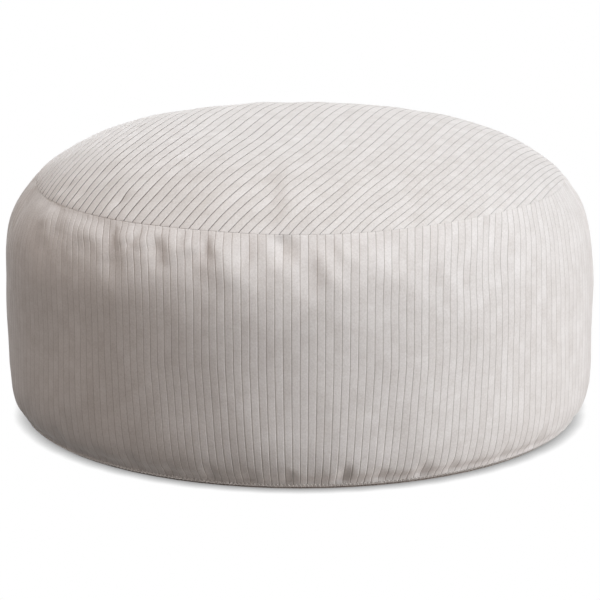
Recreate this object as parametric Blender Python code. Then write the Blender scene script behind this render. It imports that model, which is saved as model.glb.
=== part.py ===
"""A round floor pouf in wide-wale corduroy: a crowned top panel, a side band and a base panel.

Each panel is a filled solid, and the three are parted where the seams run. Metres, +Z up, the front
towards -Y, the base on z = 0.
"""

from math import cos, degrees, exp, hypot, pi, radians, sin, tau
from typing import NamedTuple

import bmesh
import bpy
import numpy as np

# Driving sizes
BELLY_RADIUS = 0.350
TOP_SEAM_HEIGHT = 0.2840
TOP_SEAM_RADIUS = 0.3126
SEAM_GAP = 0.0003
CROWN_RISE = 0.0597
CROWN_POWER = 4.5
CROWN_ROUNDING = 0.95
BASE_THICKNESS = 0.0030
BASE_RADIUS = 0.3270
BASE_EDGE_BEVEL = 0.0010
BASE_SIDES = 72

# Corduroy
BAND_WALES = 216
WALE_DEPTH = 0.0016
TOP_WALE_PITCH = 0.0110
TOP_WALE_ANGLE = radians(76)  # from +X, where the panel is level
TOP_RIM_FADE = 0.03  # share of the radius over which a wale flattens into the seam
POINTS_PER_WALE = 2
STEPS_ALONG_TOP_WALE = 24
RIM_COLUMN_SHARES = (0.02, 0.3)  # of a pitch, from the rim to the first whole wale


class Bend(NamedTuple):
    """One term of the top wales' course: powers of the way along and of the wale's place, and its share."""

    along: int
    wale: int
    share: float


TOP_WALE_BENDS = (
    Bend(0, 0, -0.058),
    Bend(0, 1, 1.168),
    Bend(0, 2, -0.037),
    Bend(0, 3, -0.229),
    Bend(0, 4, 0.045),
    Bend(1, 0, -0.039),
    Bend(1, 2, 0.175),
    Bend(1, 3, 0.037),
    Bend(1, 4, -0.121),
    Bend(2, 2, -0.255),
    Bend(2, 3, 0.125),
    Bend(3, 0, 0.135),
    Bend(3, 1, -0.076),
    Bend(4, 0, -0.093),
)


class Swing(NamedTuple):
    """Shift of the band's wales round the drum, as sines of two and four times their angle."""

    double: float
    fourfold: float


WALE_SPACING = Swing(radians(-5.3), radians(1.2))  # closer together at front and back than at the sides
TOP_EASE = Swing(radians(6.7), radians(-1.5))  # lets wales run straight up where the shoulder draws in
BASE_EASE = Swing(0.0, radians(-1.6))  # draws them together towards the base seam


class Section(NamedTuple):
    """One level of the side band. The relief is a share of the wale depth."""

    height: float
    radius: float
    relief: float


BAND_SECTIONS = (
    Section(BASE_THICKNESS + SEAM_GAP, 0.3290, 0.0),
    Section(0.0062, 0.3312, 0.5),
    Section(0.0105, 0.3332, 0.8),
    Section(0.0180, 0.3398, 1.0),
    Section(0.0320, 0.3460, 1.0),
    Section(0.0700, 0.3497, 1.0),
    Section(0.1420, BELLY_RADIUS, 1.0),
    Section(0.2130, 0.3483, 1.0),
    Section(0.2430, 0.3405, 1.0),
    Section(0.2630, 0.3290, 1.0),
    Section(0.2770, 0.3180, 0.8),
    Section(TOP_SEAM_HEIGHT - SEAM_GAP / 2, TOP_SEAM_RADIUS, 0.0),
)
SHOULDER_SWAY = 0.0022  # the left shoulder is this much fuller than the round, the right one slacker
SHOULDER_SHARE = 0.78  # of the seam's height
SHOULDER_SPREAD = 0.13


class Fold(NamedTuple):
    """A dent in the band's cloth, running from a seam. Place and lean are degrees round from the front."""

    place: float
    start: float
    length: float
    width: float
    depth: float
    lean: float


# Start and length are metres below the top seam. A negative depth stands out.
TOP_FOLDS = (
    Fold(-56.0, 0.0, 0.017, 0.0500, -0.0013, 0.0),
    Fold(-33.0, 0.0, 0.016, 0.0600, -0.0011, 0.0),
    Fold(-68.5, 0.008, 0.055, 0.0200, -0.0015, 4.0),
    Fold(-61.0, 0.007, 0.036, 0.0140, -0.0023, 2.0),
    Fold(-54.0, 0.013, 0.038, 0.0180, 0.0024, -1.5),
    Fold(-49.0, 0.023, 0.038, 0.0120, 0.0012, -2.0),
    Fold(-45.8, 0.006, 0.023, 0.0200, -0.0018, 1.5),
    Fold(-37.2, 0.016, 0.042, 0.0150, 0.0027, -1.0),
    Fold(-37.4, 0.003, 0.034, 0.0080, 0.0016, -0.5),
    Fold(-33.0, 0.000, 0.036, 0.0200, -0.0015, -2.0),
    Fold(-27.2, 0.004, 0.040, 0.0095, 0.0023, 0.0),
    Fold(-24.7, 0.001, 0.035, 0.0200, -0.0033, 0.0),
    Fold(-18.4, 0.002, 0.034, 0.0085, 0.0023, 0.0),
    Fold(-16.4, 0.000, 0.056, 0.0210, -0.0042, 4.0),
    Fold(-9.7, 0.000, 0.039, 0.0080, 0.0009, -1.0),
    Fold(-3.8, 0.000, 0.030, 0.0150, 0.0030, 0.5),
    Fold(0.8, 0.007, 0.065, 0.0110, 0.0028, 4.5),
    Fold(3.6, 0.003, 0.060, 0.0095, -0.0022, 5.0),
    Fold(6.1, 0.000, 0.033, 0.0080, -0.0006, 4.0),
    Fold(13.1, 0.033, 0.070, 0.0200, 0.0008, 1.5),
    Fold(19.2, 0.011, 0.038, 0.0115, 0.0018, 0.0),
    Fold(21.8, 0.005, 0.087, 0.0130, 0.0012, 5.0),
    Fold(30.4, 0.022, 0.064, 0.0180, 0.0010, 3.0),
    Fold(39.9, 0.002, 0.080, 0.0200, 0.0020, -2.5),
    Fold(65.6, 0.011, 0.070, 0.0200, 0.0006, -5.0),
)

# Start and length are metres above the base seam.
BASE_FOLDS = (
    Fold(-52.0, 0.003, 0.026, 0.0090, 0.0026, -2.0),
    Fold(-41.0, 0.003, 0.022, 0.0080, 0.0022, -1.0),
    Fold(-33.0, 0.003, 0.024, 0.0080, 0.0022, -1.0),
    Fold(-25.0, 0.003, 0.020, 0.0075, 0.0020, 0.0),
    Fold(-17.0, 0.003, 0.022, 0.0075, 0.0024, 0.0),
    Fold(-9.6, 0.003, 0.020, 0.0085, 0.0024, 0.0),
    Fold(-2.2, 0.003, 0.022, 0.0070, 0.0022, 0.0),
    Fold(7.6, 0.003, 0.026, 0.0075, 0.0034, 1.0),
    Fold(15.0, 0.003, 0.020, 0.0085, 0.0022, 0.0),
    Fold(23.5, 0.003, 0.022, 0.0090, 0.0026, 0.0),
    Fold(30.0, 0.003, 0.020, 0.0075, 0.0020, 0.0),
    Fold(42.0, 0.003, 0.024, 0.0085, 0.0024, 1.0),
    Fold(52.0, 0.003, 0.026, 0.0090, 0.0028, 2.0),
)

# The side away from the front carries the same two rows of folds, by rule.
BACK_FOLDS = 15
BACK_FIRST = 84.0
BACK_STEP = 13.2
BACK_WANDER = 2.8
BACK_TOP_FOLD = Fold(0.0, 0.003, 0.042, 0.0120, 0.0022, 1.0)
BACK_BASE_FOLD = Fold(0.0, 0.003, 0.022, 0.0085, 0.0024, 0.0)


class Valley(NamedTuple):
    """A soft hollow in the top panel, centred on x and y, with its half sizes and depth."""

    x: float
    y: float
    half_x: float
    half_y: float
    depth: float


TOP_VALLEYS = (
    Valley(-0.045, -0.262, 0.026, 0.040, 0.0016),
    Valley(0.000, -0.262, 0.026, 0.040, -0.0016),
    Valley(-0.150, -0.235, 0.022, 0.026, 0.0022),
    Valley(-0.232, -0.150, 0.024, 0.030, 0.0022),
    Valley(0.120, -0.255, 0.022, 0.030, 0.0014),
    Valley(0.020, 0.260, 0.024, 0.030, 0.0018),
)

TOP_COLOUR = (0.776, 0.752, 0.730)
BAND_COLOUR = (0.701, 0.672, 0.644)
BASE_COLOUR = (0.584, 0.552, 0.521)
PILE_ROUGHNESS = 0.9
SHARP_EDGE = radians(50)


def clear_scene():
    """Remove every object from the scene."""
    for old in list(bpy.data.objects):
        bpy.data.objects.remove(old, do_unlink=True)


def cloth_material(name, colour):
    """A matt cloth with this linear colour."""
    material = bpy.data.materials.new(name)
    material.use_nodes = True
    surface = material.node_tree.nodes["Principled BSDF"]
    surface.inputs["Base Color"].default_value = (*colour, 1.0)
    surface.inputs["Roughness"].default_value = PILE_ROUGHNESS
    surface.inputs["Metallic"].default_value = 0.0
    material.diffuse_color = (*colour, 1.0)
    return material


def panel_object(name, mesh, colour, height, parent):
    """Place a panel's mesh at its height, dress it and hang it on the parent."""
    mesh.materials.append(cloth_material(name + "_corduroy", colour))
    mesh.shade_smooth()
    mesh.set_sharp_from_angle(angle=SHARP_EDGE)
    panel = bpy.data.objects.new(name, mesh)
    panel.location = (0.0, 0.0, height)
    panel.parent = parent
    bpy.context.scene.collection.objects.link(panel)
    return panel


def swung(turn, swing, share):
    """An angle round the drum, shifted by a share of a swing."""
    return turn + share * (swing.double * sin(2.0 * turn) + swing.fourfold * sin(4.0 * turn))


def wale_turn(step, section):
    """Angle round of a point of the band on one level."""
    turn = swung(tau * step / (BAND_WALES * POINTS_PER_WALE), WALE_SPACING, 1.0)
    middle = TOP_SEAM_HEIGHT / 2
    if section.height < middle:
        return swung(turn, BASE_EASE, 1.0 - section.height / middle)
    return swung(turn, TOP_EASE, (BELLY_RADIUS - section.radius) / (BELLY_RADIUS - TOP_SEAM_RADIUS))


def back_folds(pattern):
    """The folds round the back, each a copy of the pattern at its own place."""
    places = (
        BACK_FIRST + BACK_STEP * k + BACK_WANDER * sin(2.3 * k) for k in range(BACK_FOLDS)
    )
    return tuple(pattern._replace(place=place) for place in places)


def dent(angle, distance, folds):
    """Depth of all these folds at an angle in degrees and a distance from their seam."""
    depth = 0.0
    for fold in folds:
        along = (distance - fold.start) / fold.length
        if not 0.0 < along < 1.0:
            continue
        turn = angle - fold.place - fold.lean * along
        turn -= 360.0 * round(turn / 360.0)
        across = radians(turn) * BELLY_RADIUS / fold.width
        depth += fold.depth * sin(pi * along) * (1.0 - across**2 / 2) * exp(-(across**2) / 2)
    return depth


def band_ring(section, top_folds, base_folds):
    """The points of one level of the band, alternately in a groove and on a wale."""
    count = BAND_WALES * POINTS_PER_WALE
    share = section.height / TOP_SEAM_HEIGHT
    sway = SHOULDER_SWAY * exp(-(((share - SHOULDER_SHARE) / SHOULDER_SPREAD) ** 2))
    ring = []
    for step in range(count):
        turn = wale_turn(step, section)
        radius = section.radius - sway * sin(turn) * min(1.0, 8.0 * (1.0 - share))
        radius -= dent(degrees(turn), TOP_SEAM_HEIGHT - section.height, top_folds)
        radius -= dent(degrees(turn), section.height - BASE_THICKNESS, base_folds)
        if step % POINTS_PER_WALE == 0:
            radius -= WALE_DEPTH * section.relief
        ring.append((radius * sin(turn), -radius * cos(turn), section.height))
    return ring


def side_band_mesh():
    """The filled drum between the seams, ringed level by level and capped flat."""
    top_folds = TOP_FOLDS + back_folds(BACK_TOP_FOLD)
    base_folds = BASE_FOLDS + back_folds(BACK_BASE_FOLD)
    work = bmesh.new()
    below = None
    for section in BAND_SECTIONS:
        points = band_ring(section, top_folds, base_folds)
        ring = [work.verts.new((x, y, z - BASE_THICKNESS)) for x, y, z in points]
        if below is None:
            work.faces.new(reversed(ring))
        else:
            for i, corner in enumerate(ring):
                before = ring[i - 1]
                work.faces.new((below[i - 1], below[i], corner, before))
        below = ring
    work.faces.new(below)
    return finished_mesh(work, "side_band")


def wale_across(along, wale):
    """Across position of a wale's line at a distance along it, closer together and bending near the rim."""
    along, wale = along / TOP_SEAM_RADIUS, wale / TOP_SEAM_RADIUS
    return TOP_SEAM_RADIUS * sum(bend.share * along**bend.along * wale**bend.wale for bend in TOP_WALE_BENDS)


def wale_line(wale):
    """Plan points of one wale from rim to rim, closer together towards the rim."""
    along = np.linspace(-TOP_SEAM_RADIUS, TOP_SEAM_RADIUS, 4001)
    inside = along[np.hypot(along, wale_across(along, wale)) < TOP_SEAM_RADIUS]
    if len(inside) < 2:
        return None
    middle = (inside[0] + inside[-1]) / 2
    half = (inside[-1] - inside[0]) / 2
    steps = np.cos(np.linspace(pi, 0.0, STEPS_ALONG_TOP_WALE + 1))
    along = middle + half * steps
    across = wale_across(along, wale)
    x = along * cos(TOP_WALE_ANGLE) + across * sin(TOP_WALE_ANGLE)
    y = along * sin(TOP_WALE_ANGLE) - across * cos(TOP_WALE_ANGLE)
    return np.stack([x, y], axis=1)


def wale_range():
    """The lowest and highest wale positions whose lines still cross the panel."""
    tries = np.linspace(-1.3 * TOP_SEAM_RADIUS, 1.3 * TOP_SEAM_RADIUS, 5201)
    crossing = [wale for wale in tries if wale_line(wale) is not None]
    return crossing[0], crossing[-1]


def top_columns():
    """(wale position, relief share) of each line of points, from one side of the panel to the other."""
    low, high = wale_range()
    step = TOP_WALE_PITCH / POINTS_PER_WALE
    columns = [(low + TOP_WALE_PITCH * share, None) for share in RIM_COLUMN_SHARES]
    first = int(np.ceil((columns[-1][0] + step / 2) / step))
    last = int(np.floor((high - TOP_WALE_PITCH * RIM_COLUMN_SHARES[-1] - step / 2) / step))
    for number in range(first, last + 1):
        columns.append((number * step, float(number % POINTS_PER_WALE == 0)))
    columns += [(high - TOP_WALE_PITCH * share, None) for share in reversed(RIM_COLUMN_SHARES)]
    return columns


def crown_height(x, y, groove):
    """Height of the top panel above its seam."""
    share = min(1.0, hypot(x, y) / TOP_SEAM_RADIUS)
    height = CROWN_RISE * (1.0 - share**CROWN_POWER) ** CROWN_ROUNDING
    fade = min(1.0, (1.0 - share) / TOP_RIM_FADE)
    hollow = sum(
        valley.depth
        * exp(-(((x - valley.x) / valley.half_x) ** 2) - ((y - valley.y) / valley.half_y) ** 2)
        for valley in TOP_VALLEYS
    )
    return height - fade * (groove * WALE_DEPTH + hollow)


def top_panel_mesh():
    """The crowned panel, filled down to the plane of its seam."""
    work = bmesh.new()
    lines = []
    columns = top_columns()
    for number, (wale, groove) in enumerate(columns):
        on_rim = number in (0, len(columns) - 1)
        line = []
        for x, y in wale_line(wale):
            end = on_rim or len(line) in (0, STEPS_ALONG_TOP_WALE)
            stretch = TOP_SEAM_RADIUS / hypot(x, y) if end else 1.0
            x, y = x * stretch, y * stretch
            height = 0.0 if end else crown_height(x, y, groove or 0.0)
            line.append(work.verts.new((x, y, height)))
        lines.append(line)
    for left, right in zip(lines, lines[1:]):
        for i in range(STEPS_ALONG_TOP_WALE):
            work.faces.new((left[i], right[i], right[i + 1], left[i + 1]))
    far = [line[-1] for line in lines[1:-1]]
    near = [line[0] for line in reversed(lines[1:-1])]
    work.faces.new(lines[0] + far + lines[-1][::-1] + near)
    return finished_mesh(work, "top_panel")


def base_panel_mesh():
    """The flat round base, its lower edge eased."""
    work = bmesh.new()
    bmesh.ops.create_cone(
        work,
        cap_ends=True,
        segments=BASE_SIDES,
        radius1=BASE_RADIUS,
        radius2=BASE_RADIUS,
        depth=BASE_THICKNESS,
    )
    bmesh.ops.translate(work, verts=work.verts, vec=(0.0, 0.0, BASE_THICKNESS / 2))
    lower_rim = [
        edge
        for edge in work.edges
        if max(corner.co.z for corner in edge.verts) < BASE_THICKNESS / 2
    ]
    bmesh.ops.bevel(work, geom=lower_rim, offset=BASE_EDGE_BEVEL, segments=1, affect="EDGES")
    return finished_mesh(work, "base_panel")


def finished_mesh(work, name):
    """Turn a bmesh into a mesh whose faces point out."""
    bmesh.ops.recalc_face_normals(work, faces=work.faces)
    if work.calc_volume(signed=True) < 0.0:
        bmesh.ops.reverse_faces(work, faces=work.faces)
    mesh = bpy.data.meshes.new(name)
    work.to_mesh(mesh)
    work.free()
    return mesh


def main():
    """Build the pouf."""
    clear_scene()
    pouf = bpy.data.objects.new("pouf", None)
    bpy.context.scene.collection.objects.link(pouf)
    panel_object("base_panel", base_panel_mesh(), BASE_COLOUR, 0.0, pouf)
    panel_object("side_band", side_band_mesh(), BAND_COLOUR, BASE_THICKNESS, pouf)
    top_level = TOP_SEAM_HEIGHT + SEAM_GAP / 2
    panel_object("top_panel", top_panel_mesh(), TOP_COLOUR, top_level, pouf)


main()
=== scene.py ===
import logging
from dataclasses import dataclass, field, replace
from enum import Enum
from math import cos, pi, radians, sin, tau

import bpy
import numpy as np
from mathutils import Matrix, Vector


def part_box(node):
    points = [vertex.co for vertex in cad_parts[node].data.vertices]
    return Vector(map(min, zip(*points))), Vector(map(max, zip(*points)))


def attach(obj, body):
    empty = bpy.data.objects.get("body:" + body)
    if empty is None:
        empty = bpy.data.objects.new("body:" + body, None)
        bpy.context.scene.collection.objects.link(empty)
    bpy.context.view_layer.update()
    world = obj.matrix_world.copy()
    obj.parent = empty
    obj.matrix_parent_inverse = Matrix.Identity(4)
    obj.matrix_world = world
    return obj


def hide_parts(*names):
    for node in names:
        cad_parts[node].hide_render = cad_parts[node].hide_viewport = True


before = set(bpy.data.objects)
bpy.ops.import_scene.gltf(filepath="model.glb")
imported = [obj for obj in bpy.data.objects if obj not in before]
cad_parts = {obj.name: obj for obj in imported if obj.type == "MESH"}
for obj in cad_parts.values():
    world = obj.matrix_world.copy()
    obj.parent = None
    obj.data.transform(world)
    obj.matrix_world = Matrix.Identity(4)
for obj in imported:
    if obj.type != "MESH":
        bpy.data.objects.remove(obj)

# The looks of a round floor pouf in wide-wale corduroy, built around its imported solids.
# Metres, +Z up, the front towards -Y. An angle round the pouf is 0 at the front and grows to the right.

LOG = logging.getLogger("pouf")
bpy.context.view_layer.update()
PHOTO_WIDTH_PX = 600
MM_PER_M = 1000.0

# Where a wale gets its lines of points, as shares of the pitch from one groove to the next.
WALE_STATIONS = (0.0, 0.04, 0.09, 0.20, 0.5, 0.80, 0.91, 0.96)
RIB_FLATNESS = 12  # the higher, the flatter a wale's top and the narrower the groove beside it

# The sine waves of a cloth's unevenness run round this radius; the slowest has this share of the fastest.
WAVES_RADIUS = 0.35
SLOWEST_WAVE = 0.25

# Radians that Blender's wave texture turns through in one unit of space at a scale of 1.
WAVE_TURN = 20.0

PILE_HEX = "F1EDEA"
WORN_PILE_HEX = "D8D2CD"


class Seam(Enum):
    """The seam of the side band that a fold runs from."""

    TOP = "top"
    BASE = "base"


@dataclass(frozen=True)
class Fold:
    """A dent in the band's cloth. Place and lean are in degrees round; a negative depth stands out."""

    seam: Seam
    place: float
    start: float
    length: float
    width: float
    depth: float
    lean: float


@dataclass(frozen=True)
class Swing:
    """Shift of the band's wales round the drum, as sines of two and four times their angle."""

    double: float
    fourfold: float

    def shifted(self, angle: np.ndarray, share: np.ndarray | float) -> np.ndarray:
        """Shift angles by a share of the swing."""
        return angle + share * (self.double * np.sin(2.0 * angle) + self.fourfold * np.sin(4.0 * angle))


@dataclass(frozen=True)
class Bend:
    """One term of the top wales' course: powers of the way along and of the wale's place, and its share."""

    along: int
    wale: int
    share: float


@dataclass(frozen=True)
class Valley:
    """A soft hollow in the top panel, centred on x and y. A negative depth stands up."""

    x: float
    y: float
    half_x: float
    half_y: float
    depth: float


@dataclass(frozen=True)
class Lamp:
    """A far soft lamp: its direction from the pouf, width in the sky, irradiance and linear colour."""

    name: str
    towards: tuple[float, float, float]
    width_degrees: float
    strength: float
    colour: tuple[float, float, float]


TOP_WALE_BENDS = (
    Bend(0, 0, -0.058),
    Bend(0, 1, 1.168),
    Bend(0, 2, -0.037),
    Bend(0, 3, -0.229),
    Bend(0, 4, 0.045),
    Bend(1, 0, -0.039),
    Bend(1, 2, 0.175),
    Bend(1, 3, 0.037),
    Bend(1, 4, -0.121),
    Bend(2, 2, -0.255),
    Bend(2, 3, 0.125),
    Bend(3, 0, 0.135),
    Bend(3, 1, -0.076),
    Bend(4, 0, -0.093),
)
FRONT_FOLDS = (
    Fold(Seam.TOP, -66.7, 0.001, 0.069, 0.0278, -0.0019, 5.0),
    Fold(Seam.TOP, -65.3, 0.003, 0.024, 0.0082, 0.0012, 0.6),
    Fold(Seam.TOP, -61.8, 0.002, 0.041, 0.0182, -0.0034, 2.9),
    Fold(Seam.TOP, -58.0, 0.002, 0.024, 0.0123, 0.0019, -0.3),
    Fold(Seam.TOP, -55.9, 0.003, 0.022, 0.0693, -0.0028, 0.7),
    Fold(Seam.TOP, -52.5, 0.029, 0.038, 0.0199, 0.0024, 3.4),
    Fold(Seam.TOP, -52.1, 0.017, 0.050, 0.0227, -0.0031, 1.0),
    Fold(Seam.TOP, -47.0, 0.006, 0.028, 0.0271, -0.0027, 0.1),
    Fold(Seam.TOP, -42.7, 0.000, 0.022, 0.0104, 0.0014, 1.1),
    Fold(Seam.TOP, -41.1, 0.003, 0.031, 0.0116, 0.0020, 2.2),
    Fold(Seam.TOP, -37.6, 0.014, 0.049, 0.0121, 0.0027, 0.2),
    Fold(Seam.TOP, -36.6, 0.002, 0.038, 0.0270, -0.0034, -0.2),
    Fold(Seam.TOP, -34.2, 0.010, 0.016, 0.0076, 0.0022, -0.5),
    Fold(Seam.TOP, -28.4, 0.007, 0.036, 0.0111, 0.0036, 1.2),
    Fold(Seam.TOP, -27.9, 0.002, 0.022, 0.0826, -0.0032, 0.7),
    Fold(Seam.TOP, -24.0, 0.014, 0.023, 0.0234, -0.0026, -3.4),
    Fold(Seam.TOP, -19.8, 0.001, 0.031, 0.0097, 0.0027, 1.9),
    Fold(Seam.TOP, -16.1, 0.000, 0.057, 0.0211, -0.0039, 3.5),
    Fold(Seam.TOP, -13.1, 0.006, 0.032, 0.0076, 0.0007, 1.5),
    Fold(Seam.TOP, -9.7, 0.000, 0.038, 0.0080, 0.0022, -1.1),
    Fold(Seam.TOP, -3.2, 0.000, 0.031, 0.0140, 0.0046, 0.0),
    Fold(Seam.TOP, 0.1, 0.006, 0.070, 0.0136, 0.0026, 2.5),
    Fold(Seam.TOP, 2.9, 0.000, 0.062, 0.0098, -0.0022, 3.8),
    Fold(Seam.TOP, 6.8, 0.001, 0.035, 0.0092, -0.0012, 3.9),
    Fold(Seam.TOP, 13.5, 0.031, 0.071, 0.0225, 0.0011, 0.8),
    Fold(Seam.TOP, 19.3, 0.008, 0.041, 0.0118, 0.0030, -0.3),
    Fold(Seam.TOP, 21.4, 0.000, 0.090, 0.0136, 0.0017, 5.6),
    Fold(Seam.TOP, 30.1, 0.020, 0.069, 0.0187, 0.0015, 3.6),
    Fold(Seam.TOP, 40.9, 0.000, 0.082, 0.0266, 0.0038, -4.1),
    Fold(Seam.TOP, 65.8, 0.013, 0.071, 0.0252, 0.0008, -5.9),
    Fold(Seam.TOP, -39.5, 0.004, 0.020, 0.0065, 0.0020, 0.5),
    Fold(Seam.TOP, -33.4, 0.002, 0.016, 0.0065, 0.0024, 0.0),
    Fold(Seam.TOP, -29.2, 0.006, 0.022, 0.0065, 0.0017, 0.0),
    Fold(Seam.TOP, -23.9, 0.002, 0.018, 0.0065, 0.0020, 0.0),
    Fold(Seam.TOP, -18.5, 0.003, 0.020, 0.0065, 0.0022, 0.5),
    Fold(Seam.TOP, -4.5, 0.001, 0.016, 0.0065, 0.0009, 0.5),
    Fold(Seam.BASE, -52.0, 0.003, 0.026, 0.0090, 0.0026, -2.0),
    Fold(Seam.BASE, -41.0, 0.003, 0.022, 0.0080, 0.0022, -1.0),
    Fold(Seam.BASE, -33.0, 0.003, 0.024, 0.0080, 0.0022, -1.0),
    Fold(Seam.BASE, -25.0, 0.003, 0.020, 0.0075, 0.0020, 0.0),
    Fold(Seam.BASE, -17.0, 0.003, 0.022, 0.0075, 0.0024, 0.0),
    Fold(Seam.BASE, -9.6, 0.003, 0.020, 0.0085, 0.0024, 0.0),
    Fold(Seam.BASE, -2.2, 0.003, 0.022, 0.0070, 0.0022, 0.0),
    Fold(Seam.BASE, 7.6, 0.003, 0.026, 0.0075, 0.0034, 1.0),
    Fold(Seam.BASE, 15.0, 0.003, 0.020, 0.0085, 0.0022, 0.0),
    Fold(Seam.BASE, 23.5, 0.003, 0.022, 0.0090, 0.0026, 0.0),
    Fold(Seam.BASE, 30.0, 0.003, 0.020, 0.0075, 0.0020, 0.0),
    Fold(Seam.BASE, 42.0, 0.003, 0.024, 0.0085, 0.0024, 1.0),
    Fold(Seam.BASE, 52.0, 0.003, 0.026, 0.0090, 0.0028, 2.0),
)
TOP_VALLEYS = (
    Valley(-0.045, -0.262, 0.026, 0.040, 0.0016),
    Valley(0.000, -0.262, 0.026, 0.040, -0.0016),
    Valley(-0.033, -0.255, 0.010, 0.050, 0.0013),
    Valley(-0.014, -0.255, 0.010, 0.050, -0.0013),
    Valley(-0.268, -0.125, 0.008, 0.008, 0.0022),
    Valley(-0.247, -0.160, 0.008, 0.008, 0.0022),
    Valley(-0.200, -0.214, 0.010, 0.008, 0.0030),
    Valley(-0.150, -0.235, 0.022, 0.026, 0.0022),
    Valley(-0.232, -0.150, 0.024, 0.030, 0.0022),
    Valley(0.120, -0.255, 0.022, 0.030, 0.0014),
    Valley(0.020, 0.260, 0.024, 0.030, 0.0018),
)
LAMPS = (
    Lamp("key", (0.673, -0.36, 0.633), 28.0, 2.40, (0.939, 1.001, 1.061)),
    Lamp("bounce", (0.602, -0.041, -0.492), 60.0, 1.37, (1.082, 0.983, 0.935)),
    Lamp("ceiling", (-0.334, -0.401, 0.822), 60.0, 1.13, (1.106, 0.98, 0.914)),
    Lamp("back_fill", (-0.15, 0.95, 0.25), 40.0, 1.6, (0.966, 1.005, 1.029)),
)


def linear(hex_colour: str) -> tuple[float, float, float, float]:
    """Turn an sRGB hex colour into linear RGBA.

    Args:
        hex_colour: Six hex digits.

    Returns:
        Linear red, green and blue, and an alpha of 1.
    """
    values = [int(hex_colour[i : i + 2], 16) / 255 for i in (0, 2, 4)]
    channels = [v / 12.92 if v <= 0.04045 else ((v + 0.055) / 1.055) ** 2.4 for v in values]
    return (*channels, 1.0)


def add_node(tree: bpy.types.NodeTree, kind: str, settings: dict, links: dict) -> bpy.types.Node:
    """Add a node with its settings and its input links.

    Args:
        tree: The node tree.
        kind: The node's Blender type name.
        settings: Attribute name or ("in", socket name or number) to value.
        links: Input socket name or number to the output socket that feeds it.

    Returns:
        The new node.
    """
    node = tree.nodes.new(kind)
    for key, value in settings.items():
        if isinstance(key, tuple):
            node.inputs[key[1]].default_value = value
        else:
            setattr(node, key, value)
    for key, source in links.items():
        tree.links.new(source, node.inputs[key])
    return node


def blank_material(name: str) -> tuple[bpy.types.Material, bpy.types.NodeTree, bpy.types.Node]:
    """Start a node material.

    Args:
        name: The material's name.

    Returns:
        The material, its tree and its Principled shader.
    """
    material = bpy.data.materials.new(name)
    material.use_nodes = True
    tree = material.node_tree
    return material, tree, tree.nodes["Principled BSDF"]


def ripple(seed: int, first: np.ndarray, second: np.ndarray, reach: float, waves: int) -> np.ndarray:
    """Smooth unevenness as a sum of sine waves, repeating over each turn of the first coordinate.

    Args:
        seed: Picks the waves.
        first: An angle in radians.
        second: A distance in metres.
        reach: The typical size of a swelling, in metres.
        waves: How many waves are summed.

    Returns:
        Values of about -1 to 1.
    """
    draw = np.random.default_rng(seed)
    total = np.zeros(np.broadcast(first, second).shape)
    top_count = max(2.0, pi * WAVES_RADIUS / reach)
    for _ in range(waves):
        count = round(draw.uniform(SLOWEST_WAVE, 1.0) * top_count)
        rate = draw.uniform(-1.0, 1.0) * pi / reach
        total += np.sin(count * first + rate * second + draw.uniform(0.0, tau))
    return total / np.sqrt(waves)


def wale_height(phase: np.ndarray) -> np.ndarray:
    """Height of a wale's flat-topped rib across one pitch, as a share of its depth.

    Args:
        phase: Place across the pitch, 0 and 1 in a groove.

    Returns:
        0 in a groove and 1 on the rib.
    """
    off = np.abs(2.0 * (phase % 1.0) - 1.0)
    return 1.0 - off**RIB_FLATNESS


def lifted(points: np.ndarray, rise: np.ndarray, wrap: bool) -> np.ndarray:
    """Move a grid of points along its own normals.

    Args:
        points: Rows by columns by 3.
        rise: Rows by columns, in metres.
        wrap: Whether the columns close on themselves.

    Returns:
        The moved points.
    """
    if wrap:
        wide = np.concatenate([points[:, -1:], points, points[:, :1]], axis=1)
        across = (wide[:, 2:] - wide[:, :-2]) / 2
    else:
        across = np.gradient(points, axis=1)
    up = np.gradient(points, axis=0)
    normal = np.cross(across, up)
    normal /= np.maximum(np.linalg.norm(normal, axis=2, keepdims=True), 1e-12)
    return points + normal * rise[..., None]


def tube_quads(rows: int, columns: int) -> tuple[np.ndarray, np.ndarray]:
    """Join a tube's points by quads, row by row, the last column to the first.

    Args:
        rows: How many rows of points the tube has.
        columns: How many points go round it.

    Returns:
        The points' numbers, rows by columns, and the quads by 4.
    """
    numbers = np.arange(rows * columns).reshape(rows, columns)
    after = np.roll(numbers, -1, axis=1)
    quads = np.stack([numbers[:-1], after[:-1], after[1:], numbers[1:]], axis=2)
    return numbers, quads.reshape(-1, 4)


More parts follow.
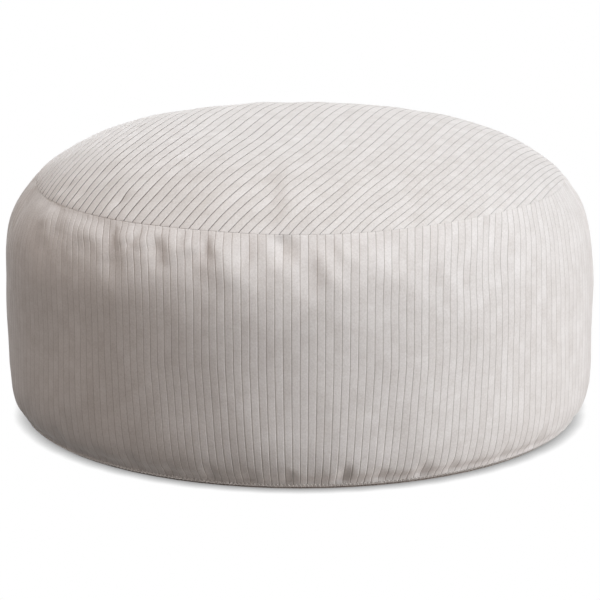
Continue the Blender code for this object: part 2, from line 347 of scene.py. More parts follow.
def mesh_object(
    name: str,
    points: np.ndarray,
    faces: np.ndarray,
    uvs: np.ndarray | None = None,
    groove_shade: np.ndarray | None = None,
) -> bpy.types.Object:
    """Make a smooth mesh object from arrays.

    Args:
        name: The object's name.
        points: Vertices by 3.
        faces: Faces by corners, a triangle's last corner given as -1.
        uvs: Faces by corners by 2.
        groove_shade: For each vertex, the strength of the painted groove shade.

    Returns:
        The object, linked to the scene.
    """
    sizes = np.where(faces[:, -1] < 0, faces.shape[1] - 1, faces.shape[1])
    corners = faces.ravel()[faces.ravel() >= 0]
    mesh = bpy.data.meshes.new(name)
    mesh.vertices.add(len(points))
    mesh.vertices.foreach_set("co", points.ravel().astype(np.float32))
    mesh.loops.add(len(corners))
    mesh.loops.foreach_set("vertex_index", corners.astype(np.int32))
    mesh.polygons.add(len(faces))
    starts = np.concatenate([[0], np.cumsum(sizes)[:-1]])
    mesh.polygons.foreach_set("loop_start", starts.astype(np.int32))
    mesh.update(calc_edges=True)
    if uvs is not None:
        layer = mesh.uv_layers.new(name="wales")
        kept = uvs.reshape(-1, 2)[faces.ravel() >= 0]
        layer.data.foreach_set("uv", kept.ravel().astype(np.float32))
    if groove_shade is not None:
        share = mesh.attributes.new("painted_groove_shade", "FLOAT", "POINT")
        share.data.foreach_set("value", groove_shade.ravel().astype(np.float32))
    mesh.validate()
    mesh.shade_smooth()
    thing = bpy.data.objects.new(name, mesh)
    bpy.context.scene.collection.objects.link(thing)
    return thing


@dataclass(frozen=True)
class Corduroy:
    """Cut-pile cotton corduroy, jumbo wale: soft upright pile on ribs, a thin groove of ground cloth between
    them.
    """

    # The upright tufts swallow gleams, so the cloth looks matt and even, a touch paler where it turns
    # away, and clouded where the nap has been stroked. Each groove shows a thin dark line: ground cloth,
    # darkened further by painted shade.
    name: str
    pile_hex: str
    worn_hex: str
    # groove_hex is the groove's ground cloth, darkened further by painted shade.
    groove_hex: str
    groove_from: float = 0.445  # of the pitch from a wale's middle, where the pile starts to thin
    groove_to: float = 0.485
    pile_grain_mm: float = 2.2  # tufts are about 0.3 mm; drawn coarser so that they show
    clouds_per_metre: float = 33.0  # along a wale, so that one cloud in the nap is about 30 mm long
    clouds_per_wale: float = 0.55
    lone_wale_share: float = 0.10
    grain_share: float = 1.10
    worn_below: float = 0.75
    full_above: float = 1.45
    bump_strength: float = 0.35
    bump_height: float = 0.0004
    ior: float = 1.5
    specular: float = 0.2
    roughness: float = 0.92
    sheen: float = 0.35
    sheen_roughness: float = 0.45

    def material(self) -> bpy.types.Material:
        """Build the cloth's nodes; its UVs hold the wale number and metres along the wale.

        Returns:
            The material.
        """
        made, tree, shader = blank_material(self.name)
        place = add_node(tree, "ShaderNodeUVMap", {"uv_map": "wales"}, {})
        split = add_node(tree, "ShaderNodeSeparateXYZ", {}, {0: place.outputs[0]})
        math = "ShaderNodeMath"
        wale, along = split.outputs[0], split.outputs[1]
        phase = add_node(tree, math, {"operation": "FRACT"}, {0: wale})
        centred = add_node(tree, math, {"operation": "SUBTRACT", ("in", 1): 0.5}, {0: phase.outputs[0]})
        off = add_node(tree, math, {"operation": "ABSOLUTE"}, {0: centred.outputs[0]})
        groove = add_node(
            tree,
            "ShaderNodeMapRange",
            {"interpolation_type": "SMOOTHSTEP", ("in", 1): self.groove_from, ("in", 2): self.groove_to},
            {0: off.outputs[0]},
        )
        # Painted groove shade: the groove's darkening is scaled at each point by a level stored on the mesh.
        groove_shading = add_node(tree, "ShaderNodeAttribute", {"attribute_name": "painted_groove_shade"}, {})
        factors = {0: groove.outputs[0], 1: groove_shading.outputs["Fac"]}
        shown = add_node(tree, math, {"operation": "MULTIPLY"}, factors)
        number = add_node(tree, math, {"operation": "FLOOR"}, {0: wale})
        lone = add_node(tree, "ShaderNodeTexWhiteNoise", {"noise_dimensions": "1D"}, {"W": number.outputs[0]})
        # The clouds run along the wales and change from one wale to the next.
        times = {"operation": "MULTIPLY"}
        stretch = add_node(tree, math, times | {("in", 1): self.clouds_per_metre}, {0: along})
        spread = add_node(tree, math, times | {("in", 1): self.clouds_per_wale}, {0: number.outputs[0]})
        lane = add_node(tree, "ShaderNodeCombineXYZ", {}, {0: spread.outputs[0], 1: stretch.outputs[0]})
        cloud = add_node(
            tree,
            "ShaderNodeTexNoise",
            {("in", "Scale"): 1.0, ("in", "Detail"): 3.0, ("in", "Roughness"): 0.6},
            {"Vector": lane.outputs[0]},
        )
        body = add_node(tree, "ShaderNodeTexCoord", {}, {})
        grain = add_node(
            tree,
            "ShaderNodeTexNoise",
            {("in", "Scale"): MM_PER_M / self.pile_grain_mm, ("in", "Detail"): 3.0, ("in", "Roughness"): 0.7},
            {"Vector": body.outputs["Object"]},
        )
        tone = add_node(
            tree,
            math,
            {"operation": "MULTIPLY_ADD", ("in", 1): self.lone_wale_share},
            {0: lone.outputs[0], 2: cloud.outputs[0]},
        )
        speck = add_node(
            tree,
            math,
            {"operation": "MULTIPLY_ADD", ("in", 1): self.grain_share},
            {0: grain.outputs[0], 2: tone.outputs[0]},
        )
        level = add_node(
            tree,
            "ShaderNodeMapRange",
            {("in", 1): self.worn_below, ("in", 2): self.full_above},
            {0: speck.outputs[0]},
        )
        pile = add_node(
            tree,
            "ShaderNodeMix",
            {"data_type": "RGBA", ("in", 6): linear(self.worn_hex), ("in", 7): linear(self.pile_hex)},
            {0: level.outputs[0]},
        )
        colour = add_node(
            tree,
            "ShaderNodeMix",
            {"data_type": "RGBA", ("in", 7): linear(self.groove_hex)},
            {0: shown.outputs[0], 6: pile.outputs[2]},
        )
        bump = add_node(
            tree,
            "ShaderNodeBump",
            {("in", "Strength"): self.bump_strength, ("in", "Distance"): self.bump_height},
            {"Height": grain.outputs[0]},
        )
        tree.links.new(colour.outputs[2], shader.inputs["Base Color"])
        tree.links.new(bump.outputs[0], shader.inputs["Normal"])
        shader.inputs["Roughness"].default_value = self.roughness
        shader.inputs["IOR"].default_value = self.ior
        shader.inputs["Specular IOR Level"].default_value = self.specular
        shader.inputs["Sheen Weight"].default_value = self.sheen
        shader.inputs["Sheen Roughness"].default_value = self.sheen_roughness
        return made


@dataclass(frozen=True)
class PlainWeave:
    """Plain-woven cotton of the base: flat over-and-under threads, matt."""

    # Flat threads without pile look even and dull, with a fine grain of small squares; their greys sit darker
    # than the corduroy as painted shade of the downward-facing base.
    name: str
    thread_hex: str
    gap_hex: str
    pitch_mm: float = 4.0  # threads lie about 0.5 mm apart; drawn coarser so that they show
    waver: float = 0.4
    bump_strength: float = 0.4
    bump_height: float = 0.0003
    roughness: float = 0.9

    def material(self) -> bpy.types.Material:
        """Build the weave's nodes from two crossed bands.

        Returns:
            The material.
        """
        made, tree, shader = blank_material(self.name)
        body = add_node(tree, "ShaderNodeTexCoord", {}, {})
        scale = MM_PER_M / self.pitch_mm * tau / WAVE_TURN
        threads = [
            add_node(
                tree,
                "ShaderNodeTexWave",
                {"bands_direction": way, ("in", "Scale"): scale, ("in", "Distortion"): self.waver},
                {"Vector": body.outputs["Object"]},
            )
            for way in ("X", "Y")
        ]
        woven = add_node(
            tree,
            "ShaderNodeMath",
            {"operation": "MAXIMUM"},
            {0: threads[0].outputs[1], 1: threads[1].outputs[1]},
        )
        colour = add_node(
            tree,
            "ShaderNodeMix",
            {"data_type": "RGBA", ("in", 6): linear(self.gap_hex), ("in", 7): linear(self.thread_hex)},
            {0: woven.outputs[0]},
        )
        bump = add_node(
            tree,
            "ShaderNodeBump",
            {("in", "Strength"): self.bump_strength, ("in", "Distance"): self.bump_height},
            {"Height": woven.outputs[0]},
        )
        tree.links.new(colour.outputs[2], shader.inputs["Base Color"])
        tree.links.new(bump.outputs[0], shader.inputs["Normal"])
        shader.inputs["Roughness"].default_value = self.roughness
        return made


@dataclass(frozen=True)
class Thread:
    """Spun polyester sewing thread: two twisted plies with a faint gloss."""

    # Short loose fibres soften the gloss, so the stitches read as pale, slightly fuzzy dashes.
    name: str
    ply_hex: str
    gap_hex: str
    twist_scale: float = 400.0  # plies cross about every 0.7 mm; drawn coarser so that they show
    waver: float = 1.0
    roughness: float = 0.55
    sheen: float = 0.2

    def material(self) -> bpy.types.Material:
        """Build the thread's nodes, with the twist as slanting bands.

        Returns:
            The material.
        """
        made, tree, shader = blank_material(self.name)
        body = add_node(tree, "ShaderNodeTexCoord", {}, {})
        twist = add_node(
            tree,
            "ShaderNodeTexWave",
            {
                "bands_direction": "DIAGONAL",
                ("in", "Scale"): self.twist_scale,
                ("in", "Distortion"): self.waver,
            },
            {"Vector": body.outputs["Object"]},
        )
        colour = add_node(
            tree,
            "ShaderNodeMix",
            {"data_type": "RGBA", ("in", 6): linear(self.gap_hex), ("in", 7): linear(self.ply_hex)},
            {0: twist.outputs[1]},
        )
        tree.links.new(colour.outputs[2], shader.inputs["Base Color"])
        shader.inputs["Roughness"].default_value = self.roughness
        shader.inputs["Sheen Weight"].default_value = self.sheen
        return made


@dataclass(frozen=True)
class StudioPaper:
    """Matt white background paper in full, even light."""

    # It looks white without any grain or gleam; near a foot its glow dims as a painted contact shadow.
    name: str
    nook_level: float = 0.36
    reach: float = 0.016
    nook_from: float = 0.15
    open_from: float = 0.95

    def material(self) -> bpy.types.Material:
        """Build the paper's nodes: its glow falls off where something stands close above it, a painted
        contact shadow.

        Returns:
            The material.
        """
        made, tree, shader = blank_material(self.name)
        near = {"samples": 8, ("in", "Distance"): self.reach}
        # Painted contact shadow: ambient occlusion close to the pouf dims the paper's glow.
        nook = add_node(tree, "ShaderNodeAmbientOcclusion", near, {})
        level = add_node(
            tree,
            "ShaderNodeMapRange",
            {
                ("in", 1): self.nook_from,
                ("in", 2): self.open_from,
                ("in", 3): self.nook_level,
                ("in", 4): 1.0,
            },
            {0: nook.outputs["AO"]},
        )
        tree.links.new(level.outputs[0], shader.inputs["Emission Strength"])
        shader.inputs["Emission Color"].default_value = (1.0, 1.0, 1.0, 1.0)
        shader.inputs["Base Color"].default_value = (0.0, 0.0, 0.0, 1.0)
        shader.inputs["Roughness"].default_value = 1.0
        shader.inputs["Specular IOR Level"].default_value = 0.0
        return made


@dataclass
class CushionForm:
    """The pouf's outer form, from the boxes of its packed panels."""

    seam_levels: tuple[tuple[float, float], ...] = (  # degrees round from the front, and mm of lift
        (-90.0, 0.0),
        (-78.0, -3.8),
        (-70.0, -3.6),
        (-60.0, -2.2),
        (-50.0, -1.8),
        (-40.0, -1.2),
        (-30.0, -0.3),
        (-18.0, 0.0),
        (-8.0, -0.9),
        (2.0, -1.1),
        (12.0, -0.3),
        (22.0, 1.4),
        (35.0, 3.0),
        (48.0, 3.5),
        (62.0, 2.8),
        (90.0, 0.0),
    )
    crown_sway_power: float = 8.0
    belly_share: float = 0.5
    shoulder_power: int = 4
    shoulder_rounding: float = 1.1
    foot_power: int = 6
    foot_rounding: float = 0.8
    foot_inset: float = 0.0015
    seam_gap: float = 0.0003
    crown_power: float = 4.5
    crown_rounding: float = 0.95
    crown_roll_power: int = 8
    seam_roll: float = 0.00025
    seam_roll_width: float = 0.0022
    tuck_height: float = 0.0115
    tuck_depth: float = 0.0022
    tuck_width: float = 0.0050
    shoulder_sway: float = 0.0022
    belly: float = field(init=False)
    seam_height: float = field(init=False)
    seam_radius: float = field(init=False)
    base_radius: float = field(init=False)
    base_top: float = field(init=False)
    crown_rise: float = field(init=False)

    def __post_init__(self) -> None:
        """Read the sizes of the three panels."""
        top_low, top_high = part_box("top_panel")
        band_low, band_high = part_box("side_band")
        base_low, base_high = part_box("base_panel")
        self.belly = (band_high.y - band_low.y) / 2
        self.seam_radius = (top_high.y - top_low.y) / 2
        self.seam_height = top_low.z
        self.base_radius = (base_high.x - base_low.x) / 2
        self.base_top = base_high.z
        self.crown_rise = top_high.z - self.seam_height

    def seam_lift(self, angle: np.ndarray) -> np.ndarray:
        """How far the top seam rises right of the front and dips left of it; level round the back.

        Args:
            angle: Radians round from the front.

        Returns:
            Metres upwards.
        """
        places, levels = np.array(self.seam_levels).T
        around = np.arctan2(np.sin(angle), np.cos(angle))
        return np.interp(np.degrees(around), places, levels) / MM_PER_M

    def levels(self, rows: int, crowding: float) -> np.ndarray:
        """Heights of the band's rows of points, closer together towards both seams.

        Args:
            rows: How many rows there are.
            crowding: How far they crowd, as a share of the height.

        Returns:
            Metres above the floor.
        """
        even = np.linspace(0.0, 1.0, rows)
        low = self.base_top + self.seam_gap
        return low + (self.seam_height - low) * (even - crowding * np.sin(tau * even))

    def band_radius(self, height: np.ndarray) -> np.ndarray:
        """Radius of the band's smooth form.

        Args:
            height: Metres above the floor.

        Returns:
            The radius, drawn in and rolled under at both seams.
        """
        middle = self.belly_share * self.seam_height
        up = np.clip((height - middle) / (self.seam_height - middle), 0.0, 1.0)
        down = np.clip((middle - height) / middle, 0.0, 1.0)
        shoulder = (1.0 - up**self.shoulder_power) ** self.shoulder_rounding
        upper = self.seam_radius + (self.belly - self.seam_radius) * shoulder
        foot = self.base_radius - self.foot_inset
        lower = foot + (self.belly - foot) * (1.0 - down**self.foot_power) ** self.foot_rounding
        radius = np.where(height > middle, upper, lower)
        radius -= self.seam_roll * np.exp(-(((self.seam_height - height) / self.seam_roll_width) ** 2))
        off = (height - self.tuck_height) / self.tuck_width
        return radius - self.tuck_depth * np.exp(-(off**2))

    def crown(self, x: np.ndarray, y: np.ndarray) -> np.ndarray:
        """Height of the top panel's smooth form.

        Args:
            x: Across the pouf.
            y: From its front to its back.

        Returns:
            Metres above the floor.
        """
        share = np.clip(np.hypot(x, y) / self.seam_radius, 0.0, 1.0)
        rise = self.crown_rise * (1.0 - share**self.crown_power) ** self.crown_rounding
        inwards = (1.0 - share) * self.seam_radius
        roll = 1.0 - np.exp(-inwards / self.seam_roll_width)
        rise += self.seam_roll * roll * share**self.crown_roll_power
        lift = self.seam_lift(np.arctan2(x, -y)) * share**self.crown_sway_power
        return self.seam_height + lift + rise


@dataclass
class Gathering:
    """Cloth simulation of the band: cut a little larger than its form and held at both seams, it puckers."""

    form: CushionForm
    columns: int = 152
    rows: int = 26
    row_crowding: float = 0.105
    frames: int = 20
    quality: int = 5
    pressure: float = 4.0
    slack: float = 0.02
    seed: int = 5
    unevenness: float = 0.0004
    cap: float = 0.0022
    front_share: float = 0.35
    front_degrees: float = 65.0
    blend_degrees: float = 30.0
    heights: np.ndarray = field(init=False)
    rise: np.ndarray = field(init=False)

    def __post_init__(self) -> None:
        self.heights = self.form.levels(self.rows, self.row_crowding)
        self.rise = self.run()

    def sheet(self) -> tuple[bpy.types.Object, np.ndarray]:
        """Make the band as a coarse tube with its two seam rows in a pin group.

        Returns:
            The tube and its points, rows by columns by 3.
        """
        angle = (tau * np.arange(self.columns) / self.columns - pi)[None, :]
        height = self.heights[:, None]
        draw = np.random.default_rng(self.seed)
        jitter = draw.standard_normal((self.rows, self.columns)) * self.unevenness
        jitter[[0, -1]] = 0.0
        radius = self.form.band_radius(height) + jitter
        points = np.stack([radius * np.sin(angle), -radius * np.cos(angle), height + 0.0 * angle], axis=2)
        numbers, quads = tube_quads(self.rows, self.columns)
        tube = mesh_object("gathering", points.reshape(-1, 3), quads)
        pins = tube.vertex_groups.new(name="seams")
        pins.add([int(n) for n in np.concatenate([numbers[0], numbers[-1]])], 1.0, "REPLACE")
        return tube, points

    def run(self) -> np.ndarray:
        """Let the filling press the slack cloth out between its seams.

        Returns:
            How far each point then stands off its row's mean radius, in metres.
        """
        tube, start = self.sheet()
        cloth = tube.modifiers.new("cloth", "CLOTH")
        cloth.settings.quality = self.quality
        cloth.settings.use_pressure = True
        cloth.settings.uniform_pressure_force = self.pressure
        cloth.settings.effector_weights.gravity = 0.0
        cloth.settings.shrink_min = -self.slack
        cloth.settings.vertex_group_mass = "seams"
        cloth.point_cache.frame_start = 1
        cloth.point_cache.frame_end = self.frames
        for number in range(1, self.frames + 1):
            bpy.context.scene.frame_set(number)
        settled = tube.evaluated_get(bpy.context.evaluated_depsgraph_get())
        mesh = settled.to_mesh()
        flat = np.empty(len(mesh.vertices) * 3, np.float32)
        mesh.vertices.foreach_get("co", flat)
        settled.to_mesh_clear()
        bpy.context.scene.frame_set(1)
        bpy.data.objects.remove(tube, do_unlink=True)
        ends = flat.reshape(self.rows, self.columns, 3).astype(float)
        rise = np.hypot(ends[..., 0], ends[..., 1]) - np.hypot(start[..., 0], start[..., 1])
        rise -= rise.mean(axis=1, keepdims=True)
        LOG.info("gathering: %d points settled, uneven by %.1f mm", rise.size, MM_PER_M * rise.std())
        return self.cap * np.tanh(rise / self.cap)

    def sample(self, angle: np.ndarray, height: np.ndarray) -> np.ndarray:
        """Read the settled cloth between its points, fainter in front, where the folds are listed one by one.

        Args:
            angle: Radians round from the front.
            height: Metres above the floor.

        Returns:
            Metres outwards.
        """
        angle, height = np.broadcast_arrays(angle, height)
        row = np.interp(height, self.heights, np.arange(self.rows))
        column = (angle + pi) / tau * self.columns
        r0 = np.minimum(row.astype(int), self.rows - 2)
        c0 = np.floor(column).astype(int)
        up, on = row - r0, column - c0
        here, there = c0 % self.columns, (c0 + 1) % self.columns
        lower = self.rise[r0, here] * (1.0 - on) + self.rise[r0, there] * on
        upper = self.rise[r0 + 1, here] * (1.0 - on) + self.rise[r0 + 1, there] * on
        turn = np.abs((angle + pi) % tau - pi)
        away = np.clip((turn - radians(self.front_degrees)) / radians(self.blend_degrees), 0.0, 1.0)
        return (self.front_share + (1.0 - self.front_share) * away) * (lower * (1.0 - up) + upper * up)


@dataclass
class SideBand:
    """The long strip round the drum, its wales upright."""

    form: CushionForm
    gathering: Gathering
    wales: int = 216
    spacing: Swing = Swing(radians(-5.3), radians(1.2))
    top_ease: Swing = Swing(radians(6.7), radians(-1.5))
    base_ease: Swing = Swing(0.0, radians(-1.6))
    depth: float = 0.0004
    rows: int = 54
    row_crowding: float = 0.105
    least_relief: float = 0.35
    relief_gain: float = 3.0
    sideways: float = 0.00018
    sideways_reach: float = 0.030
    swell: float = 0.0004
    swell_reach: float = 0.045
    sway_middle: float = 0.78  # of the seam's height
    sway_spread: float = 0.13
    top_fade: float = 0.010
    base_fade: float = 0.006
    # How strong the painted groove shade is round the band, weakest on the left.
    groove_shade_levels: tuple[tuple[float, float], ...] = (  # degrees round from the front, and the level
        (-180.0, 0.70),
        (-90.0, 0.30),
        (-65.0, 0.35),
        (-46.0, 0.55),
        (-25.0, 0.75),
        (0.0, 0.85),
        (25.0, 0.75),
        (60.0, 0.70),
        (90.0, 0.60),
        (180.0, 0.70),
    )
    back_folds: int = 15
    back_first: float = 84.0
    back_step: float = 13.2
    back_wander: float = 2.8
    back_wander_rate: float = 2.3
    back_patterns: tuple[Fold, Fold] = (
        Fold(Seam.TOP, 0.0, 0.003, 0.042, 0.0120, 0.0022, 1.0),
        Fold(Seam.BASE, 0.0, 0.003, 0.022, 0.0085, 0.0024, 0.0),
    )

    def folds(self) -> tuple[Fold, ...]:
        """List the folds of the front, with a fold from either seam at each place round the back.

        Returns:
            All folds.
        """
        made = list(FRONT_FOLDS)
        for k in range(self.back_folds):
            wander = self.back_wander * sin(self.back_wander_rate * k)
            place = self.back_first + self.back_step * k + wander
            made.extend(replace(pattern, place=place) for pattern in self.back_patterns)
        return tuple(made)

    def dents(self, angle: np.ndarray, height: np.ndarray) -> np.ndarray:
        """Depth of all folds.

        Args:
            angle: Radians round from the front.
            height: Metres above the floor.

        Returns:
            Metres inwards.
        """
        total = np.zeros(np.broadcast(angle, height).shape)
        for fold in self.folds():
            if fold.seam is Seam.TOP:
                distance = self.form.seam_height - height
            else:
                distance = height - self.form.base_top
            along = np.clip((distance - fold.start) / fold.length, 0.0, 1.0)
            turn = np.degrees(angle) - fold.place - fold.lean * along
            turn -= 360.0 * np.round(turn / 360.0)
            across = np.radians(turn) * self.form.belly / fold.width
            total += fold.depth * np.sin(pi * along) * (1.0 - across**2 / 2) * np.exp(-(across**2) / 2)
        return total

    def groove_shade(self, angle: np.ndarray) -> np.ndarray:
        """Strength of the painted groove shade at an angle."""
        return np.interp(np.degrees(angle), *np.array(self.groove_shade_levels).T)

    def fade(self, height: np.ndarray) -> np.ndarray:
        """Share of the unevenness at a height, none at either seam."""
        below = np.clip((self.form.seam_height - height) / self.top_fade, 0.0, 1.0)
        return below * np.clip((height - self.form.base_top) / self.base_fade, 0.0, 1.0)

    def skin(self, angle: np.ndarray, height: np.ndarray) -> np.ndarray:
        """Points of the band's folded cloth, without its ribs.

        Args:
            angle: Radians round from the front.
            height: Metres above the floor.

        Returns:
            Points by 3, in the shape that both arrays broadcast to.
        """
        form = self.form
        middle = form.seam_height / 2
        drawn_in = (form.belly - form.band_radius(height)) / (form.belly - form.seam_radius)
        angle = self.top_ease.shifted(angle, np.where(height > middle, drawn_in, 0.0))
        angle = self.base_ease.shifted(angle, np.clip(1.0 - height / middle, 0.0, 1.0))
        angle = angle + self.sideways / form.belly * ripple(3, angle, height, self.sideways_reach, waves=9)
        radius = form.band_radius(height) - self.dents(angle, height)
        radius = radius + self.gathering.sample(angle, height)
        fade = self.fade(height)
        radius = radius + self.swell * fade * ripple(11, angle, height, self.swell_reach, waves=10)
        sway = np.exp(-(((height / form.seam_height - self.sway_middle) / self.sway_spread) ** 2))
        radius = radius - form.shoulder_sway * sway * fade * np.sin(angle)
        z = height + form.seam_lift(angle) * (height / form.seam_height) ** 2
        return np.stack([radius * np.sin(angle), -radius * np.cos(angle), z], axis=-1)

    def surface(self) -> tuple[np.ndarray, np.ndarray, np.ndarray]:
        """Lay out the ribbed surface.

        Returns:
            Points by rows, columns and 3, each corner's wale number and height, and each point's painted
            groove shade level.
        """
        height = self.form.levels(self.rows, self.row_crowding)[:, None]
        count = np.arange(self.wales)[:, None] + np.array(WALE_STATIONS)[None, :]
        wale = count.ravel()[None, :]
        angle = self.spacing.shifted(tau * wale / self.wales - pi, 1.0)
        relief = np.clip(self.fade(height) * self.relief_gain, self.least_relief, 1.0)
        rib = relief * self.depth * (wale_height(wale) - 1.0)
        points = lifted(self.skin(angle, height), rib, True)
        shape = (self.rows - 1, wale.shape[1], 4)
        ahead = np.append(wale[0, 1:], float(self.wales))
        u = np.stack([wale[0], ahead, ahead, wale[0]], axis=1)
        v = np.stack([height[:-1], height[:-1], height[1:], height[1:]], axis=2)
        uv = np.stack([np.broadcast_to(u, shape), np.broadcast_to(v, shape)], axis=3)
        groove_shading = np.broadcast_to(self.groove_shade(angle), points.shape[:2])
        return points, uv.reshape(-1, 4, 2), groove_shading

    def build(self) -> bpy.types.Object:
        """Build the ribbed drum, closed by a flat cap inside each seam.

        Returns:
            The band.
        """
        points, uv, groove_shading = self.surface()
        rows, columns = points.shape[:2]
        numbers, quads = tube_quads(rows, columns)
        middles = (rows * columns, rows * columns + 1)
        none = np.full(columns, -1)
        caps = []
        for ring, middle in zip((numbers[0][::-1], numbers[-1]), middles):
            caps.append(np.stack([ring, np.roll(ring, -1), np.full(columns, middle), none], axis=1))
        foot = [[0.0, 0.0, float(points[0, :, 2].mean())]]
        crown = [[0.0, 0.0, self.form.seam_height]]
        flat = np.vstack([points.reshape(-1, 3), foot, crown])
        uv = np.vstack([uv, np.full((2 * columns, 4, 2), 0.5)])
        return mesh_object("band_cloth", flat, np.vstack([quads, *caps]), uv, np.append(groove_shading, [1.0, 1.0]))


@dataclass
class HemStitch:
    """The zigzag topstitching round the band's hem, just above the base seam."""

    band: SideBand
    height: float = 0.0050
    tall: float = 0.0042
    pitch: float = 0.0046
    thread_radius: float = 0.00045
    stations: int = 4
    sides: int = 6

    def build(self) -> bpy.types.Object:
        """Build the thread as one closed tube that dips into the cloth at each needle hole.

        Returns:
            The thread.
        """
        stitches = round(tau * self.band.form.base_radius / self.pitch)
        turn = np.arange(2 * stitches * self.stations) / (2 * self.stations)
        angle = tau * turn / stitches
        swing = np.abs(2.0 * (turn % 1.0) - 1.0)
        height = self.height + self.tall * (swing - 0.5)
        out = np.stack([np.sin(angle), -np.cos(angle), np.zeros_like(angle)], axis=1)
        proud = self.thread_radius * (1.2 * np.sqrt(np.abs(np.sin(tau * turn))) - 0.6)
        path = self.band.skin(angle, height) + out * proud[:, None]
        ahead = np.roll(path, -1, axis=0) - np.roll(path, 1, axis=0)
        ahead /= np.linalg.norm(ahead, axis=1, keepdims=True)
        side = np.cross(ahead, out)
        side /= np.linalg.norm(side, axis=1, keepdims=True)
        spoke = tau * np.arange(self.sides) / self.sides
        ring = np.cos(spoke)[None, :, None] * np.cross(side, ahead)[:, None]
        ring = ring + np.sin(spoke)[None, :, None] * side[:, None]
        points = path[:, None] + self.thread_radius * ring
        numbers = np.arange(len(path) * self.sides).reshape(len(path), self.sides)
        after, beside = np.roll(numbers, -1, axis=0), np.roll(numbers, -1, axis=1)
        quads = np.stack([numbers, beside, np.roll(after, -1, axis=1), after], axis=2)
        return mesh_object("hem_stitch", points.reshape(-1, 3), quads.reshape(-1, 4))


@dataclass
class TopPanel:
    """The crowned round panel, its wales on a slant."""

    form: CushionForm
    pitch: float = 0.0110
    depth: float = 0.0012
    slant: float = radians(76)
    steps: int = 150
    # How strong the painted groove shade is across the crown, strongest on the left; it also scales the ribs'
    # depth.
    groove_shade_levels: tuple[tuple[float, float], ...] = (  # x in metres, and the level
        (-0.31, 2.2),
        (-0.24, 1.2),
        (-0.10, 0.85),
        (0.10, 0.60),
        (0.22, 0.45),
    )
    rim_keep: float = 0.5  # of the depth that is left where a wale meets the seam
    rim_gain: float = 2.5
    rim_fade: float = 0.03  # of the radius
    line_tries: int = 4001
    panel_tries: int = 5201
    search_reach: float = 1.3  # of the radius
    edge_gap: float = 0.02  # of the pitch, from the rim to the outermost line of points
    line_gap: float = 0.04  # of the pitch, from that line to the next
    sideways: float = 0.00015
    waver_along: float = 61.0
    waver_across: float = 37.0
    swell: float = 0.0004
    swell_reach: float = 0.07
    swell_turn: float = 7.0  # radians of the swelling's round for each metre across

    def across(self, along: np.ndarray, wale: float) -> np.ndarray:
        """Across position of a wale's line, closer to its neighbours and bending near the rim.

        Args:
            along: Metres along the wales.
            wale: The line's across position in the middle of the panel.

        Returns:
            Metres across the wales.
        """
        rim = self.form.seam_radius
        way, place = along / rim, wale / rim
        return rim * sum(bend.share * way**bend.along * place**bend.wale for bend in TOP_WALE_BENDS)

    def line(self, wale: float) -> np.ndarray | None:
        """Plan points of one wale from rim to rim.

        Args:
            wale: Its across position in the middle of the panel.

        Returns:
            Points by 2, or None where the wale misses the panel.
        """
        rim = self.form.seam_radius
        tries = np.linspace(-rim, rim, self.line_tries)
        inside = tries[np.hypot(tries, self.across(tries, wale)) < rim]
        if len(inside) < 2:
            return None
        even = np.linspace(pi, 0.0, self.steps + 1)
        along = (inside[0] + inside[-1]) / 2 + (inside[-1] - inside[0]) / 2 * np.cos(even)
        across = self.across(along, wale)
        waver = np.sin(along * self.waver_along + wale * self.waver_across)
        across = across + self.sideways * np.sin(even) * waver
        x = along * cos(self.slant) + across * sin(self.slant)
        y = along * sin(self.slant) - across * cos(self.slant)
        return np.stack([x, y], axis=1)

    def columns(self) -> list[float]:
        """Place all lines of points, from one edge of the panel to the other.

        Returns:
            The lines' across positions in the middle of the panel.
        """
        rim = self.form.seam_radius
        tries = np.linspace(-self.search_reach * rim, self.search_reach * rim, self.panel_tries)
        crossing = [float(wale) for wale in tries if self.line(float(wale)) is not None]
        low, high = crossing[0] + self.edge_gap * self.pitch, crossing[-1] - self.edge_gap * self.pitch
        first, last = int(np.floor(low / self.pitch)), int(np.ceil(high / self.pitch))
        numbers = range(first, last + 1)
        inner = [(number + part) * self.pitch for number in numbers for part in WALE_STATIONS]
        margin = self.line_gap * self.pitch
        return [low] + [wale for wale in inner if low + margin < wale < high - margin] + [high]

    def plan(self, wales: np.ndarray, edge: np.ndarray) -> np.ndarray:
        """Lay out the lines of points, seen from above.

        Args:
            wales: The lines' across positions.
            edge: Which points lie on the rim, steps by lines.

        Returns:
            Points by steps, lines and 2, those of the edge exactly on the rim.
        """
        plan = np.stack([self.line(float(wale)) for wale in wales], axis=1)
        reach = np.hypot(plan[..., 0], plan[..., 1])
        return np.where(edge[..., None], plan * (self.form.seam_radius / reach)[..., None], plan)

    def surface(self, wales: np.ndarray) -> tuple[np.ndarray, np.ndarray, np.ndarray]:
        """Raise the lines to the crown, with its hollows, swellings and ribs.

        Args:
            wales: The lines' across positions.

        Returns:
            Points by steps, lines and 3, each point's way along its wale, and its painted groove shade level,
            which also scales the ribs' depth.
        """
        edge = np.ones((self.steps + 1, len(wales)), bool)
        edge[1:-1, 1:-1] = False
        plan = self.plan(wales, edge)
        x, y = plan[..., 0], plan[..., 1]
        share = np.clip(np.hypot(x, y) / self.form.seam_radius, 0.0, 1.0)
        fade = np.clip((1.0 - share) / self.rim_fade, 0.0, 1.0)
        z = self.form.crown(x, y)
        for valley in TOP_VALLEYS:
            off = ((x - valley.x) / valley.half_x) ** 2 + ((y - valley.y) / valley.half_y) ** 2
            z = z - fade * valley.depth * np.exp(-off)
        z = z + self.swell * fade * ripple(21, x * self.swell_turn, y, self.swell_reach, waves=10)
        groove_shading = np.interp(x, *np.array(self.groove_shade_levels).T)
        rib = self.depth * np.minimum(groove_shading, 1.0) * (wale_height(wales / self.pitch)[None, :] - 1.0)
        relief = rib * np.clip(fade * self.rim_gain, self.rim_keep, 1.0) * np.where(edge, 0.0, 1.0)
        along = x * cos(self.slant) + y * sin(self.slant)
        return lifted(np.stack([x, y, z], axis=2), relief, False), along, groove_shading

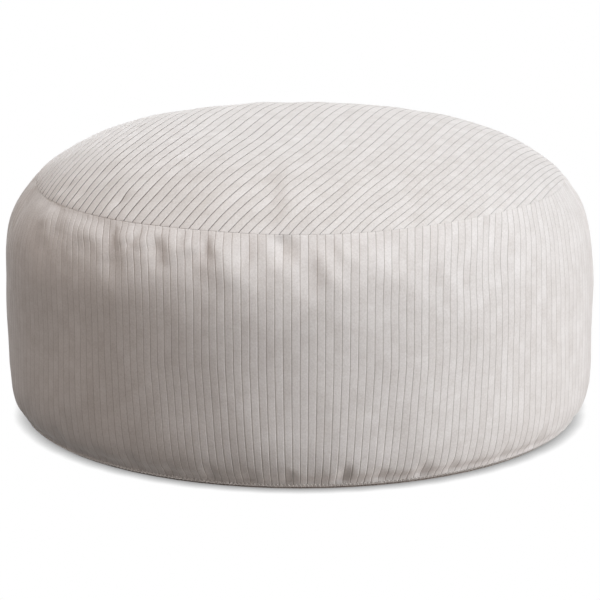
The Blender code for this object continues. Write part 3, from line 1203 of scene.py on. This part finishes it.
    def build(self) -> bpy.types.Object:
        """Build the ribbed crown over a flat underside.

        Returns:
            The panel.
        """
        wales = np.array(self.columns())
        points, along, groove_shading = self.surface(wales)
        rows, columns = groove_shading.shape
        numbers = np.arange(rows * columns).reshape(rows, columns)
        quads = np.stack([numbers[:-1, :-1], numbers[:-1, 1:], numbers[1:, 1:], numbers[1:, :-1]], axis=2)
        both = np.stack([np.broadcast_to(wales / self.pitch, (rows, columns)), along], axis=2)
        uv = np.stack([both[:-1, :-1], both[:-1, 1:], both[1:, 1:], both[1:, :-1]], axis=2)
        sides = (numbers[::-1, 0], numbers[0, 1:], numbers[1:, -1], numbers[-1, 1:-1][::-1])
        loop = np.concatenate(sides)
        middle, none = np.full(len(loop), rows * columns), np.full(len(loop), -1)
        under = np.stack([np.roll(loop, -1), loop, middle, none], axis=1)
        flat = np.vstack([points.reshape(-1, 3), [[0.0, 0.0, self.form.seam_height]]])
        faces = np.vstack([quads.reshape(-1, 4), under])
        uv = np.vstack([uv.reshape(-1, 4, 2), np.full((len(loop), 4, 2), 0.5)])
        return mesh_object("top_cloth", flat, faces, uv, np.append(groove_shading, 1.0))


@dataclass
class Studio:
    """Floor, light and camera."""

    focal_px: float = 2745.8
    distance: float = 3.2
    height: float = 0.9477
    aim_height: float = 0.1307
    floor_size: float = 40.0
    sensor_mm: float = 36.0
    room_colour: tuple[float, float, float] = (1.0, 0.925, 0.885)
    room_level: float = 0.08

    def floor(self) -> bpy.types.Object:
        """Lay the paper floor.

        Returns:
            The floor.
        """
        half = self.floor_size / 2
        corners = np.array([[-half, -half, 0.0], [half, -half, 0.0], [half, half, 0.0], [-half, half, 0.0]])
        floor = mesh_object("floor", corners, np.array([[0, 1, 2, 3]]))
        floor.data.materials.append(StudioPaper("white_studio_paper").material())
        floor.visible_diffuse = False
        floor.visible_shadow = False  # lets through the light that the real paper throws back up
        return floor

    def hang(self, lamp: Lamp) -> None:
        """Hang a far soft lamp.

        Args:
            lamp: The lamp's settings.
        """
        data = bpy.data.lights.new(lamp.name, "SUN")
        data.color = lamp.colour
        data.angle = radians(lamp.width_degrees)
        data.energy = lamp.strength
        hung = bpy.data.objects.new(lamp.name, data)
        hung.location = Vector(lamp.towards) * self.distance
        hung.rotation_euler = Vector(lamp.towards).to_track_quat("Z", "Y").to_euler()
        bpy.context.scene.collection.objects.link(hung)

    def build(self) -> None:
        """Set the floor, the lamps, the room's light and the camera."""
        self.floor()
        for lamp in LAMPS:
            self.hang(lamp)
        world = bpy.data.worlds.new("studio_white")
        world.use_nodes = True
        backdrop = world.node_tree.nodes["Background"]
        backdrop.inputs[0].default_value = (*self.room_colour, 1.0)
        backdrop.inputs[1].default_value = self.room_level
        bpy.context.scene.world = world
        bpy.context.scene.view_settings.view_transform = "Standard"
        data = bpy.data.cameras.new("camera")
        data.sensor_width = self.sensor_mm
        data.lens = self.focal_px / PHOTO_WIDTH_PX * data.sensor_width
        camera = bpy.data.objects.new("camera", data)
        camera.location = (0.0, -self.distance, self.height)
        aim = Vector((0.0, 0.0, self.aim_height)) - camera.location
        camera.rotation_euler = aim.to_track_quat("-Z", "Y").to_euler()
        bpy.context.scene.collection.objects.link(camera)
        bpy.context.scene.camera = camera


def dress(piece: bpy.types.Object, material: bpy.types.Material) -> None:
    """Give a piece its material and slot, and let it ride with the pouf.

    Args:
        piece: The piece.
        material: Its material.
    """
    piece.data.materials.append(material)
    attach(piece, "root")
    LOG.info("%s: %d faces", piece.name, len(piece.data.polygons))


def main() -> None:
    """Build the pouf and its studio."""
    logging.basicConfig(level=logging.INFO)
    form = CushionForm()
    # The groove colours are ground cloth darkened further by painted shade.
    cloth = Corduroy("cotton_corduroy_cut_pile", PILE_HEX, WORN_PILE_HEX, "A59B95").material()
    # The top's grooves get a darker, wider painted groove shade than the band's.
    top_corduroy = Corduroy("cotton_corduroy_painted_groove_shade", PILE_HEX, WORN_PILE_HEX, "5E5650", 0.430, 0.480)
    drum = SideBand(form, Gathering(form))
    band = drum.build()
    dress(band, cloth)
    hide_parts("side_band")
    top = TopPanel(form).build()
    dress(top, top_corduroy.material())
    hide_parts("top_panel")
    stitch = HemStitch(drum).build()
    dress(stitch, Thread("spun_polyester_thread", "EDE9E5", "C9C3BC").material())
    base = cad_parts["base_panel"]
    base.data.materials.clear()
    # These greys are painted shade of the downward-facing base, darker than the corduroy's pile.
    base.data.materials.append(PlainWeave("cotton_plain_weave", "A89F98", "7C736C").material())
    Studio().build()


if __name__ == "__main__":
    main()
